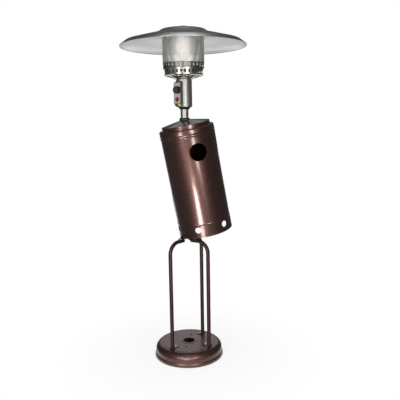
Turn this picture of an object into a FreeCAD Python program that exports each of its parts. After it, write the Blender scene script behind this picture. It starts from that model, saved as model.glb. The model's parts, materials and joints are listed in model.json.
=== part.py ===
"""Free-standing patio gas heater with its tank housing lifted and leaning on the stand.

Millimetres, +Z up, origin at the middle of the base on the floor. The control nose, the
knob and the igniter look along panel_azimuth, measured from +X towards +Y.
"""
import FreeCAD, Part
import math
import os
import re
import Sketcher

SIZES = {
    # pressed steel base
    "base_radius": 232,
    "base_rim_height": 14,
    "base_waist": 6,
    "base_waist_height": 24,
    "base_land_height": 84,
    "base_shoulder": 38,
    "base_wall": 2,
    "plate_margin": 10,
    "plate_rise": 2,
    "base_hole_radius": 40,
    "hole_ring_width": 15,
    "hole_ring_rise": 2,
    "anchor_hole_radius": 8,
    "anchor_circle": 104,
    "anchor_azimuth": 82,
    "floor_wall": 3,
    "floor_lip": 10,
    "ballast_inset": 16,
    "ballast_gap": 22,
    "ballast_height": 45,
    # three bent legs
    "leg_inset": 15,
    "leg_radius": 12.5,
    "leg_wall": 1.5,
    "leg_bend": 75,
    "leg_end": 34,
    "leg_top": 814,
    "leg_azimuth": 229,
    "leg_second": 99,
    "leg_third": 185,
    "foot_width": 32,
    "foot_reach": 46,
    "foot_thickness": 4,
    "foot_bolt_inset": 30,
    "bolt_radius": 4,
    "bolt_head_radius": 7.5,
    "bolt_head_height": 5.3,
    "nut_radius": 7.5,
    "nut_height": 6.5,
    # hub and post
    "hub_radius": 45,
    "hub_thickness": 4,
    "hub_lug_width": 30,
    "hub_bolt_circle": 64,
    "hose_hole_radius": 18,
    "seat_ring_width": 18,
    "seat_ring_height": 6,
    "post_radius": 25.5,
    "post_wall": 1.5,
    "post_reserve": 77.9,
    "spigot_wall": 2,
    "spigot_height": 80,
    "post_screw_radius": 3,
    "post_screw_rise": 45,
    "post_screw_azimuth": 27,
    # head collar and control housing
    "collar_height": 17,
    "collar_seat": 12,
    "collar_lip": 2.5,
    "collar_top_radius": 45,
    "control_radius": 51,
    "control_height": 170,
    "control_wall": 1.2,
    "panel_azimuth": 232,
    "nose_reach": 70,
    "nose_width": 55,
    "nose_bevel_reach": 52,
    "nose_bevel_height": 19,
    "nose_top_bevel": 10,
    "nose_lower": 1,
    "nose_upper": 12,
    "panel_thickness": 1.5,
    "control_floor_wall": 3,
    "control_floor_rim": 20,
    "control_screw_azimuth": 272,
    "control_screw_radius": 2.2,
    "control_screw_head": 5,
    "control_screw_rise": 12,
    "control_screw_drop": 8,
    "control_screw_depth": 5,
    # gas valve, knob and igniter
    "valve_height": 104,
    "valve_back": 18,
    "valve_front": 22,
    "valve_width": 36,
    "valve_half": 22,
    "valve_boss_radius": 9,
    "valve_boss_height": 10,
    "inlet_radius": 6,
    "inlet_length": 22,
    "bracket_thickness": 3,
    "bracket_width": 26,
    "bracket_grip": 14,
    "stem_radius": 4,
    "stem_depth": 14,
    "knob_radius": 23.5,
    "knob_depth": 21,
    "knob_gap": 5.5,
    "knob_socket": 11,
    "stem_collar_radius": 10,
    "stem_collar_width": 5,
    "stem_spring_radius": 8,
    "stem_spring_wall": 2,
    "stem_spring_length": 18,
    "push_travel": 4,
    "igniter_height": 44.5,
    "igniter_radius": 11,
    "igniter_wall": 1.4,
    "igniter_depth": 37,
    "igniter_cap": 3,
    "igniter_collar": 4,
    "bezel_radius": 14.5,
    "button_proud": 5,
    "button_length": 17,
    "igniter_travel": 4.5,
    "tilt_switch_size": 18,
    "tilt_switch_width": 24,
    "tilt_switch_height": 28,
    "tilt_switch_reach": 40,
    # burner
    "cone_height": 26,
    "cone_collar": 22,
    "band_radius": 121,
    "band_flare": 3,
    "band_height": 41,
    "burner_wall": 1,
    "lip_reach": 8,
    "cone_hem": 6,
    "cone_slots": 14,
    "cone_slot_width": 18,
    "cone_slot_flare": 14,
    "cone_slot_inner": 68,
    "cone_slot_outer": 111,
    "band_slots": 30,
    "band_slot_width": 12,
    "band_slot_height": 20,
    "jet_radius": 6,
    "jet_height": 12,
    "jet_bore": 1,
    "venturi_radius": 14,
    "venturi_wall": 1.2,
    "venturi_flange": 8,
    "burner_radius": 80,
    "burner_height": 24,
    "burner_clearance": 46,
    "pilot_plate_width": 40,
    "pilot_plate_reach": 26,
    "pilot_plate_thickness": 2,
    "pilot_plate_drop": 16,
    "pilot_reach": 94,
    "pilot_offset": 11,
    "pilot_radius": 4,
    "pilot_height": 26,
    "lead_radius": 1.6,
    "lead_bend": 9,
    "lead_reach": 42,
    # emitter
    "emitter_base_height": 34,
    "emitter_base_radius": 131,
    "emitter_slots": 30,
    "emitter_slot_width": 11,
    "emitter_slot_height": 20,
    "emitter_radius": 133,
    "emitter_height": 166.5,
    "emitter_wall": 0.8,
    "emitter_top_wall": 1.5,
    # reflector
    "reflector_radius": 402,
    "reflector_wall": 1.2,
    "hem_height": 4,
    "lip_radius": 368,
    "lip_rise": 25.5,
    "dish_flat_radius": 187,
    "dish_rise": 48,
    "spacer_height": 12,
    "spacer_circle": 90,
    "spacer_radius": 8,
    "crown_radius": 178,
    "crown_edge": 35,
    "crown_edge_height": 22.5,
    "crown_rise": 12,
    "stud_radius": 4,
    "wing_nut_radius": 8,
    "wing_nut_height": 16,
    "wing_span": 15,
    "wing_thickness": 3,
    # tank housing
    "housing_radius": 180,
    "housing_wall": 1,
    "housing_length": 752,
    "seat_landing": 9.18,
    "housing_lean_azimuth": 27,
    "housing_land_drop": 48,
    "housing_shoulder": 10,
    "land_width": 30,
    "bead_depth": 2,
    "bead_half": 5,
    "bead_upper_drop": 82,
    "bead_second_drop": 98,
    "bead_lower_height": 84,
    "hem_depth": 1.5,
    "hem_band": 8,
    "lid_radius": 158,
    "lid_rim_drop": 25,
    "lid_flange": 12,
    "rivet_radius": 2,
    "rivet_head": 4,
    "access_hole_radius": 57,
    "access_hole_drop": 199.5,
    "access_hole_azimuth": 286.5,
    "vent_hole_radius": 20,
    "vent_hole_height": 51,
    "vent_hole_azimuth": 256,
    "vent_holes": 6,
    "guide_radius": 34,
    "guide_half": 12,
    # clearances
    "fit_gap": 0.1,
    "run_gap": 0.05,
    "slide_gap": 0.3,
    "rest_gap": 0.3,
    "hole_gap": 0.3,
}

doc = FreeCAD.newDocument("PatioHeater")
sheet = doc.addObject("Spreadsheet::Sheet", "Sizes")
for row, (alias, amount) in enumerate(SIZES.items(), start=1):
    sheet.set(f"A{row}", alias)
    sheet.set(f"B{row}", str(amount))
    sheet.setAlias(f"B{row}", alias)
doc.recompute()

nodes = []

# heights and radii that follow from the sizes
PLATE_TOP = "(base_land_height + plate_rise)"
DOME_RADIUS = "(base_radius - base_waist)"
PLATE_RADIUS = f"({DOME_RADIUS} - base_shoulder - plate_margin)"
LEG_CIRCLE = f"({PLATE_RADIUS} - leg_inset)"
FOOT_BOLT_CIRCLE = f"({LEG_CIRCLE} - foot_bolt_inset)"
FOOT_TOP = f"({PLATE_TOP} + foot_thickness)"
LEG_LINE = "(leg_top - leg_radius)"
HUB_TOP = "(leg_top + hub_thickness)"
SEAT_TOP = f"({HUB_TOP} + seat_ring_height)"
RIM_EDGE = "(housing_radius + hem_depth)"
TILT = (
    f"(acos((post_radius + seat_landing) / sqrt({RIM_EDGE}^2 + housing_length^2))"
    f" - atan(housing_length / {RIM_EDGE}))"
)
PIVOT = f"({SEAT_TOP} + rest_gap + housing_length * cos({TILT}) + {RIM_EDGE} * sin({TILT}))"
POST_TOP = f"({PIVOT} + post_reserve)"
POST_BORE = "(post_radius - post_wall)"
CONTROL_BOTTOM = f"({POST_TOP} - collar_seat + collar_height)"
CONTROL_TOP = f"({CONTROL_BOTTOM} + control_height)"
CONTROL_BORE = "(control_radius - control_wall)"
NOSE_BOTTOM = f"({CONTROL_BOTTOM} + nose_lower)"
NOSE_TOP = f"({CONTROL_TOP} - nose_upper)"
CONTROL_FLOOR = f"({CONTROL_BOTTOM} + control_floor_wall)"
PANEL_FRONT = "(nose_reach + panel_thickness)"
VALVE_LINE = f"({CONTROL_BOTTOM} + valve_height)"
VALVE_TOP = f"({VALVE_LINE} + valve_half)"
VALVE_BOTTOM = f"({VALVE_LINE} - valve_half)"
IGNITER_LINE = f"({CONTROL_BOTTOM} + igniter_height)"
KNOB_BACK = f"({PANEL_FRONT} + knob_gap)"
CONE_TOP = f"({CONTROL_TOP} + cone_height)"
LIP_TOP = f"({CONE_TOP} + band_height + burner_wall)"
LIP_RADIUS = "(band_radius + band_flare + lip_reach)"
JET_BOTTOM = f"({VALVE_TOP} + valve_boss_height)"
VENTURI_BOTTOM = f"({JET_BOTTOM} + jet_height)"
BURNER_BOTTOM = f"({CONTROL_TOP} + burner_clearance)"
PILOT_PLATE = f"({BURNER_BOTTOM} + burner_height - pilot_plate_drop)"
EMITTER_BOTTOM = f"({LIP_TOP} + emitter_base_height)"
EMITTER_TOP = f"({EMITTER_BOTTOM} + emitter_height + emitter_top_wall)"
DISH_FLAT = f"({EMITTER_TOP} + spacer_height + reflector_wall)"
RIM_TOP = f"({DISH_FLAT} - dish_rise - lip_rise)"
CROWN_TOP = f"({DISH_FLAT} + crown_edge_height + crown_rise)"
HOUSING_LAND = "(housing_length - housing_land_drop)"
LID_RIM = "(housing_length - lid_rim_drop)"


def linked(text):
    """The expression with each size in it pointing at its cell."""
    return re.sub(r"[a-z_]+", lambda word: f"Sizes.{word[0]}" if word[0] in SIZES else word[0], text)


def number(text):
    """What an expression of sizes comes to."""
    return float(sheet.evalExpression(linked(text)))


def plane_of(owner, role):
    """An origin plane or axis of a body."""
    return next(feature for feature in owner.Origin.OriginFeatures if feature.Role == role)


def new_body(label):
    """An empty body that becomes the node of that name."""
    owner = doc.addObject("PartDesign::Body", label)
    owner.Label = label
    return owner


def new_sketch(owner, role, lift="0", turn="0"):
    """A sketch on an origin plane, lifted along its normal or turned about its upright axis."""
    sketch = owner.newObject("Sketcher::SketchObject", f"{owner.Label}_sketch")
    sketch.AttachmentSupport = (plane_of(owner, role), [""])
    sketch.MapMode = "FlatFace"
    if turn != "0":
        sketch.AttachmentOffset = FreeCAD.Placement(
            FreeCAD.Vector(), FreeCAD.Rotation(FreeCAD.Vector(0, 1, 0), number(turn)))
        sketch.setExpression("AttachmentOffset.Rotation.Angle", linked(turn))
    if lift != "0":
        sketch.setExpression("AttachmentOffset.Base.z", linked(lift))
    return sketch


def tie(sketch, kind, items, text):
    """A driven dimension of a sketch, bound to the sheet."""
    index = sketch.addConstraint(Sketcher.Constraint(kind, *items, number(text)))
    sketch.setExpression(f"Constraints[{index}]", linked(text))


def tie_point(sketch, geometry, end, across, up):
    """A point of a sketch held at two expressions from the origin."""
    if across == "0":
        sketch.addConstraint(Sketcher.Constraint("PointOnObject", geometry, end, -2))
    else:
        tie(sketch, "DistanceX", (-1, 1, geometry, end), across)
    if up == "0":
        sketch.addConstraint(Sketcher.Constraint("PointOnObject", geometry, end, -1))
    else:
        tie(sketch, "DistanceY", (-1, 1, geometry, end), up)


def arc_between(start, finish, radius, side):
    """The short arc from start to finish, its centre left (1) or right (-1) of the way."""
    along = finish.sub(start)
    half = along.Length / 2
    left = FreeCAD.Vector(-along.y, along.x, 0).normalize()
    middle = start.add(along.multiply(0.5))
    centre = middle.add(left.multiply(side * math.sqrt(max(radius ** 2 - half ** 2, 0))))
    first, last = (start, finish) if side > 0 else (finish, start)
    angles = [math.atan2(end.y - centre.y, end.x - centre.x) for end in (first, last)]
    circle = Part.Circle(centre, FreeCAD.Vector(0, 0, 1), radius)
    return Part.ArcOfCircle(circle, angles[0], angles[1])


def draw(sketch, corners, closed=True):
    """Lines and arcs through corners (across, up) or (across, up, arc radius, side)."""
    spots = [FreeCAD.Vector(number(corner[0]), number(corner[1]), 0) for corner in corners]
    count = len(corners) if closed else len(corners) - 1
    first_index = sketch.GeometryCount
    ends = []
    for index in range(count):
        corner = corners[index]
        start = spots[index]
        finish = spots[(index + 1) % len(spots)]
        if len(corner) == 4:
            sketch.addGeometry(arc_between(start, finish, number(corner[2]), corner[3]))
            ends.append((1, 2) if corner[3] > 0 else (2, 1))
        else:
            sketch.addGeometry(Part.LineSegment(start, finish))
            ends.append((1, 2))
    joints = count if closed else count - 1
    for index in range(joints):
        follower = (index + 1) % count
        sketch.addConstraint(Sketcher.Constraint(
            "Coincident", first_index + index, ends[index][1],
            first_index + follower, ends[follower][0]))
    for index in range(count):
        tie_point(sketch, first_index + index, ends[index][0], corners[index][0], corners[index][1])
        if len(corners[index]) == 4:
            tie(sketch, "Radius", (first_index + index,), corners[index][2])
    if not closed:
        tie_point(sketch, first_index + count - 1, ends[-1][1], corners[-1][0], corners[-1][1])


def draw_circle(sketch, radius, across="0", up="0"):
    """A circle whose middle and radius are bound to the sheet."""
    centre = FreeCAD.Vector(number(across), number(up), 0)
    index = sketch.addGeometry(Part.Circle(centre, FreeCAD.Vector(0, 0, 1), number(radius)))
    tie_point(sketch, index, 3, across, up)
    tie(sketch, "Radius", (index,), radius)


def draw_box(sketch, low, high):
    """A rectangle between two corners of expressions."""
    draw(sketch, [low, (high[0], low[1]), high, (low[0], high[1])])


def thin(path, wall):
    """A wall along a path that runs from its inner end outwards and down."""
    inner = []
    for index, corner in enumerate(path):
        across = corner[0] if index == 0 else f"{corner[0]} - {wall}"
        up = corner[1] if index == len(path) - 1 else f"{corner[1]} - {wall}"
        inner.append((across, up))
    for index, corner in enumerate(path[:-1]):
        if len(corner) == 4:
            inner[index + 1] = inner[index + 1] + (corner[2], -corner[3])
    return list(path) + inner[::-1]


def revolve(owner, sketch, axis="V_Axis"):
    """A full turn of a sketch."""
    feature = owner.newObject("PartDesign::Revolution", f"{owner.Label}_turn")
    feature.Profile = sketch
    feature.ReferenceAxis = (sketch, [axis])
    feature.Angle = 360
    return feature


def pad(owner, sketch, length, middle=False):
    """A sketch pushed out to a length."""
    feature = owner.newObject("PartDesign::Pad", f"{owner.Label}_pad")
    feature.Profile = sketch
    feature.SideType = "Symmetric" if middle else "One side"
    feature.setExpression("Length", linked(length))
    return feature


def cut(owner, sketch, length, middle=False):
    """A sketch cut along its normal to a length, with the loss of volume proved."""
    doc.recompute()
    before = owner.Shape.Volume
    feature = owner.newObject("PartDesign::Pocket", f"{owner.Label}_cut")
    feature.Profile = sketch
    feature.Type = "Length"
    feature.SideType = "Symmetric" if middle else "One side"
    feature.Reversed = not middle
    feature.setExpression("Length", linked(length))
    doc.recompute()
    if owner.Shape.Volume >= before:
        raise ValueError(f"{owner.Label}: a cut removed nothing")
    return feature


def around(owner, feature, copies):
    """A feature repeated round the body's upright axis."""
    pattern = owner.newObject("PartDesign::PolarPattern", f"{owner.Label}_ring")
    pattern.Originals = [feature]
    pattern.Axis = (plane_of(owner, "Z_Axis"), [""])
    pattern.Angle = 360
    pattern.setExpression("Occurrences", linked(copies))
    owner.Tip = pattern
    return pattern


def turned(label, corners, axis="V_Axis"):
    """A body turned from one outline."""
    owner = new_body(label)
    sketch = new_sketch(owner, "XZ_Plane")
    draw(sketch, corners)
    revolve(owner, sketch, axis)
    return owner


def bored(low, high, bottom, top):
    """The outline of a tube or ring between two radii and two heights."""
    return [(low, bottom), (high, bottom), (high, top), (low, top)]


def place(owner, azimuth="0", reach="0", side="0", height="0"):
    """Turn a body about Z, then move it out, sideways and up in that turned frame."""
    owner.setExpression("Placement.Rotation.Angle", linked(azimuth))
    owner.setExpression(
        "Placement.Base.x", linked(f"({reach}) * cos({azimuth}) - ({side}) * sin({azimuth})"))
    owner.setExpression(
        "Placement.Base.y", linked(f"({reach}) * sin({azimuth}) + ({side}) * cos({azimuth})"))
    owner.setExpression("Placement.Base.z", linked(height))
    return owner


def on_panel(owner, height="0"):
    """Place a body in the frame whose X axis is the control nose's direction."""
    return place(owner, azimuth="panel_azimuth", height=height)


def node(owner):
    """Keep an object as a node of the part."""
    nodes.append(owner)
    return owner


def group(label, owners):
    """Equal pieces kept together as one node."""
    holder = doc.addObject("Part::Compound", label)
    holder.Label = label
    holder.Links = owners
    return node(holder)


def leg_turn(index):
    """Azimuth of one of the three legs."""
    return ("leg_azimuth", "(leg_azimuth + leg_second)", "(leg_azimuth + leg_third)")[index]


def spread(index, first):
    """Azimuth of one of three pieces spread evenly from a first one."""
    return f"({first} + {index} * 120)"


def hex_outline(radius):
    """Corners of a hexagon of a given corner radius, kept clear of negative zero."""
    turns = [60 * index + 30 for index in range(6)]
    corners = []
    for turn in turns:
        across = "0" if turn % 180 == 90 else f"{radius} * cos({turn})"
        corners.append((across, f"{radius} * sin({turn})"))
    return corners


def anchor_holes(owner):
    """Two holes on a circle through which the base is bolted down."""
    sketch = new_sketch(owner, "XY_Plane", lift="-base_wall")
    draw_circle(sketch, "anchor_hole_radius", "anchor_circle * cos(anchor_azimuth)",
                "anchor_circle * sin(anchor_azimuth)")
    hole = cut(owner, sketch, "base_radius")
    around(owner, hole, "2")


def base_shell():
    """Pressed dish with a rolled rim, a domed shoulder and a raised plate with a centre hole."""
    ring_top = f"{PLATE_TOP} + hole_ring_rise"
    ring_edge = "base_hole_radius + hole_ring_width"
    path = [
        ("base_hole_radius", ring_top),
        (ring_edge, ring_top),
        (f"{ring_edge} + hole_ring_rise", PLATE_TOP),
        (f"{PLATE_RADIUS} - plate_rise", PLATE_TOP),
        (PLATE_RADIUS, "base_land_height"),
        (f"{DOME_RADIUS} - base_shoulder", "base_land_height", "base_shoulder", -1),
        (DOME_RADIUS, "base_land_height - base_shoulder"),
        (DOME_RADIUS, "base_waist_height"),
        ("base_radius", "base_rim_height"),
        ("base_radius", "0"),
    ]
    owner = turned("base_shell", thin(path, "base_wall"))
    depth = f"{PLATE_TOP} * 2"
    for index in range(3):
        turn = leg_turn(index)
        sketch = new_sketch(owner, "XY_Plane")
        draw_circle(sketch, "bolt_radius + hole_gap", f"{FOOT_BOLT_CIRCLE} * cos({turn})",
                    f"{FOOT_BOLT_CIRCLE} * sin({turn})")
        cut(owner, sketch, depth)
    anchor_holes(owner)
    return node(owner)


def base_inside():
    """Floor tray inside the rim, and the cast ring that weighs the base down."""
    edge = "base_radius - base_wall - fit_gap"
    tray = [
        ("0", "0"),
        (edge, "0"),
        (edge, "floor_lip"),
        (f"{edge} - base_wall", "floor_lip"),
        (f"{edge} - base_wall", "floor_wall"),
        ("0", "floor_wall"),
    ]
    floor = turned("base_floor", tray)
    anchor_holes(floor)
    node(floor)
    node(turned("base_ballast", bored(
        "anchor_circle + ballast_inset", f"{DOME_RADIUS} - base_wall - ballast_gap",
        "floor_wall", "floor_wall + ballast_height")))


def leg(label, index):
    """Tube that stands on its foot, bends over and runs in under the hub."""
    owner = new_body(label)
    path = new_sketch(owner, "XZ_Plane")
    draw(path, [
        (LEG_CIRCLE, FOOT_TOP),
        (LEG_CIRCLE, f"{LEG_LINE} - leg_bend", "leg_bend", 1),
        (f"{LEG_CIRCLE} - leg_bend", LEG_LINE),
        ("leg_end", LEG_LINE),
    ], closed=False)
    section = new_sketch(owner, "XY_Plane", lift=FOOT_TOP)
    draw_circle(section, "leg_radius", LEG_CIRCLE)
    draw_circle(section, "leg_radius - leg_wall", LEG_CIRCLE)
    pipe = owner.newObject("PartDesign::AdditivePipe", f"{label}_pipe")
    pipe.Profile = section
    pipe.Spine = (path, ["Edge1", "Edge2", "Edge3"])
    hole = new_sketch(owner, "XY_Plane", lift=LEG_LINE)
    draw_circle(hole, "bolt_radius + hole_gap", "hub_bolt_circle")
    cut(owner, hole, "2 * leg_radius")
    return node(place(owner, azimuth=leg_turn(index)))


def leg_foot(index):
    """Flat foot under a leg, reaching inwards to its bolt."""
    owner = new_body(f"leg_foot_{index}")
    sketch = new_sketch(owner, "XY_Plane")
    draw_box(sketch, (f"{LEG_CIRCLE} - foot_reach", "-foot_width / 2"),
             (f"{PLATE_RADIUS} - plate_rise", "foot_width / 2"))
    draw_circle(sketch, "bolt_radius + hole_gap", FOOT_BOLT_CIRCLE)
    pad(owner, sketch, "foot_thickness")
    return place(owner, azimuth=leg_turn(index), height=PLATE_TOP)


def bolt(label, grip):
    """Hexagon bolt whose head sits on z = 0 and whose shank hangs down by the grip."""
    owner = new_body(label)
    head = new_sketch(owner, "XY_Plane")
    draw(head, hex_outline("bolt_head_radius"))
    pad(owner, head, "bolt_head_height")
    shank = new_sketch(owner, "XY_Plane", lift=f"-({grip})")
    draw_circle(shank, "bolt_radius")
    pad(owner, shank, grip)
    return owner


def nut(label):
    """Hexagon nut standing on z = 0, with a plain bore."""
    owner = new_body(label)
    sketch = new_sketch(owner, "XY_Plane")
    draw(sketch, hex_outline("nut_radius"))
    draw_circle(sketch, "bolt_radius + run_gap")
    pad(owner, sketch, "nut_height")
    return owner


def legs():
    """Three legs on their feet, bolted to the base plate and, by nuts inside them, to the hub."""
    leg("leg_front_left", 0)
    leg("leg_front_right", 1)
    leg("leg_back_right", 2)
    group("leg_feet", [leg_foot(index) for index in range(3)])
    foot_grip = "foot_thickness + base_wall + nut_height + 2 * fit_gap"
    inside_rise = "sqrt((leg_radius - leg_wall)^2 - nut_radius^2)"
    hub_nut_low = f"({LEG_LINE} + {inside_rise} - fit_gap - nut_height)"
    hub_grip = f"({HUB_TOP} - {hub_nut_low} + fit_gap)"
    foot_bolts = []
    foot_nuts = []
    hub_bolts = []
    hub_nuts = []
    for index in range(3):
        turn = leg_turn(index)
        foot_bolts.append(place(bolt(f"foot_bolt_{index}", foot_grip), turn,
                                reach=FOOT_BOLT_CIRCLE, height=FOOT_TOP))
        foot_nuts.append(place(nut(f"foot_nut_{index}"), turn, reach=FOOT_BOLT_CIRCLE,
                               height=f"{PLATE_TOP} - base_wall - nut_height - fit_gap"))
        hub_bolts.append(place(bolt(f"hub_bolt_{index}", hub_grip), turn,
                               reach="hub_bolt_circle", height=HUB_TOP))
        hub_nuts.append(place(nut(f"hub_nut_{index}"), turn, reach="hub_bolt_circle",
                              height=hub_nut_low))
    group("foot_bolts", foot_bolts)
    group("foot_nuts", foot_nuts)
    group("hub_bolts", hub_bolts)
    group("hub_nuts", hub_nuts)


def hub():
    """Plate with three lugs over the leg ends, and the seat ring round the post's foot."""
    owner = new_body("hub_plate")
    disc = new_sketch(owner, "XY_Plane", lift="leg_top")
    draw_circle(disc, "hub_radius")
    draw_circle(disc, "hose_hole_radius")
    pad(owner, disc, "hub_thickness")
    inner = "(hose_hole_radius + hub_radius) / 2"
    for index in range(3):
        turn = leg_turn(index)
        lug = new_sketch(owner, "XY_Plane", lift="leg_top")
        lug.AttachmentOffset = FreeCAD.Placement(
            FreeCAD.Vector(0, 0, number("leg_top")),
            FreeCAD.Rotation(FreeCAD.Vector(0, 0, 1), number(turn)))
        lug.setExpression("AttachmentOffset.Rotation.Angle", linked(turn))
        draw(lug, [
            (inner, "-hub_lug_width / 2"),
            ("hub_bolt_circle", "-hub_lug_width / 2", "hub_lug_width / 2 * 1.0001", 1),
            ("hub_bolt_circle", "hub_lug_width / 2"),
            (inner, "hub_lug_width / 2"),
        ])
        pad(owner, lug, "hub_thickness")
        hole = new_sketch(owner, "XY_Plane", lift="leg_top")
        draw_circle(hole, "bolt_radius + hole_gap", f"hub_bolt_circle * cos({turn})",
                    f"hub_bolt_circle * sin({turn})")
        cut(owner, hole, "hub_thickness")
    node(owner)
    node(turned("seat_ring", bored(
        "post_radius + fit_gap", "post_radius + fit_gap + seat_ring_width", HUB_TOP, SEAT_TOP)))


def cross_screw(label, tip, head_low, head_high, shank_radius, head_radius):
    """Round-headed screw lying along X."""
    return turned(label, [
        (tip, "0"),
        (head_high, "0"),
        (head_high, f"{head_radius} * 0.7"),
        (head_low, head_radius),
        (head_low, shank_radius),
        (tip, shank_radius),
    ], axis="H_Axis")


def radial_hole(owner, radius, height, turn, copies):
    """Round hole through one wall, facing outwards, repeated round the body."""
    sketch = new_sketch(owner, "YZ_Plane", turn=turn)
    draw_circle(sketch, radius, "0", height)
    hole = cut(owner, sketch, "base_radius")
    around(owner, hole, copies)


def post():
    """Upright tube over a spigot on the hub, locked by two cross screws."""
    line = f"({HUB_TOP} + post_screw_rise)"
    tube = turned("post", bored(POST_BORE, "post_radius", HUB_TOP, POST_TOP))
    spigot_edge = f"{POST_BORE} - fit_gap"
    spigot = turned("post_spigot", bored(
        f"{spigot_edge} - spigot_wall", spigot_edge, HUB_TOP, f"{HUB_TOP} + spigot_height"))
    for owner in (tube, spigot):
        radial_hole(owner, "post_screw_radius + fit_gap", line, "post_screw_azimuth", "2")
        node(owner)
    screws = []
    for index in range(2):
        screw = cross_screw(f"post_screw_{index}", f"{spigot_edge} - spigot_wall",
                            "post_radius + fit_gap", "post_radius + post_screw_radius",
                            "post_screw_radius", "2 * post_screw_radius")
        screws.append(place(screw, f"(post_screw_azimuth + {index} * 180)", height=line))
    group("post_screws", screws)


def head_collar():
    """Dark cone that sockets the post's top and carries the control housing."""
    bottom = f"({POST_TOP} - collar_seat)"
    owner = turned("head_collar", [
        ("post_radius + fit_gap", bottom),
        ("post_radius + fit_gap + collar_lip", bottom),
        ("collar_top_radius", CONTROL_BOTTOM),
        ("hose_hole_radius", CONTROL_BOTTOM),
        ("hose_hole_radius", POST_TOP),
        ("post_radius + fit_gap", POST_TOP),
    ])
    return node(owner)


def control_housing():
    """Keyhole shell: a round barrel with a bevelled nose, open at the nose's front."""
    owner = new_body("control_housing")
    barrel = new_sketch(owner, "XY_Plane", lift=CONTROL_BOTTOM)
    draw_circle(barrel, "control_radius")
    pad(owner, barrel, "control_height")
    nose = new_sketch(owner, "XZ_Plane")
    draw(nose, [
        ("0", NOSE_BOTTOM),
        ("nose_bevel_reach", NOSE_BOTTOM),
        ("nose_reach", f"{NOSE_BOTTOM} + nose_bevel_height"),
        ("nose_reach", f"{NOSE_TOP} - nose_top_bevel"),
        ("nose_bevel_reach", NOSE_TOP),
        ("0", NOSE_TOP),
    ])
    pad(owner, nose, "nose_width", middle=True)
    bore = new_sketch(owner, "XY_Plane", lift=CONTROL_BOTTOM)
    draw_circle(bore, CONTROL_BORE)
    cut(owner, bore, "control_height")
    skin = "1.5 * control_wall"
    hollow = new_sketch(owner, "XZ_Plane")
    draw(hollow, [
        ("0", f"{NOSE_BOTTOM} + {skin}"),
        ("nose_bevel_reach", f"{NOSE_BOTTOM} + {skin}"),
        ("nose_reach", f"{NOSE_BOTTOM} + nose_bevel_height + {skin}"),
        ("nose_reach", f"{NOSE_TOP} - nose_top_bevel - {skin}"),
        ("nose_bevel_reach", f"{NOSE_TOP} - {skin}"),
        ("0", f"{NOSE_TOP} - {skin}"),
    ])
    cut(owner, hollow, "nose_width - 2 * control_wall", middle=True)
    turn = "control_screw_azimuth - panel_azimuth"
    size = "control_screw_radius + fit_gap"
    radial_hole(owner, size, f"{CONTROL_BOTTOM} + control_screw_rise", turn, "3")
    radial_hole(owner, size, f"{CONTROL_TOP} - control_screw_drop", turn, "3")
    return node(on_panel(owner))


def control_panel():
    """Flat front of the nose, with the holes for the knob's stem and the igniter."""
    owner = new_body("control_panel")
    sketch = new_sketch(owner, "YZ_Plane", lift="nose_reach")
    draw_box(sketch, ("-nose_width / 2", f"{NOSE_BOTTOM} + nose_bevel_height"),
             ("nose_width / 2", f"{NOSE_TOP} - nose_top_bevel"))
    draw_circle(sketch, "stem_radius + 2", "0", VALVE_LINE)
    draw_circle(sketch, "igniter_radius + fit_gap", "0", IGNITER_LINE)
    pad(owner, sketch, "panel_thickness")
    return node(on_panel(owner))


def control_floor():
    """Cup in the bottom of the barrel, with the hose hole and a rim for the screws."""
    edge = f"{CONTROL_BORE} - fit_gap"
    rim = f"{edge} - 1.5 * control_wall"
    top = f"{CONTROL_BOTTOM} + control_floor_rim"
    owner = turned("control_floor", [
        ("hose_hole_radius", CONTROL_BOTTOM),
        (edge, CONTROL_BOTTOM),
        (edge, top),
        (rim, top),
        (rim, CONTROL_FLOOR),
        ("hose_hole_radius", CONTROL_FLOOR),
    ])
    window = new_sketch(owner, "XZ_Plane", turn="panel_azimuth")
    draw_box(window, ("hose_hole_radius", CONTROL_FLOOR), ("nose_reach", f"{top} + 1"))
    cut(owner, window, "nose_width", middle=True)
    radial_hole(owner, "control_screw_radius + fit_gap", f"{CONTROL_BOTTOM} + control_screw_rise",
                "control_screw_azimuth", "3")
    return node(owner)


def control_screws():
    """Round-headed screws at the foot and the top of the barrel."""
    screws = []
    for row, height in enumerate((f"{CONTROL_BOTTOM} + control_screw_rise",
                                  f"{CONTROL_TOP} - control_screw_drop")):
        for index in range(3):
            screw = cross_screw(
                f"control_screw_{row}_{index}", "control_radius - control_screw_depth",
                "control_radius + fit_gap", "control_radius + fit_gap + control_screw_head * 0.6",
                "control_screw_radius", "control_screw_head")
            screws.append(place(screw, spread(index, "control_screw_azimuth"), height=height))
    group("control_screws", screws)


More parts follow.
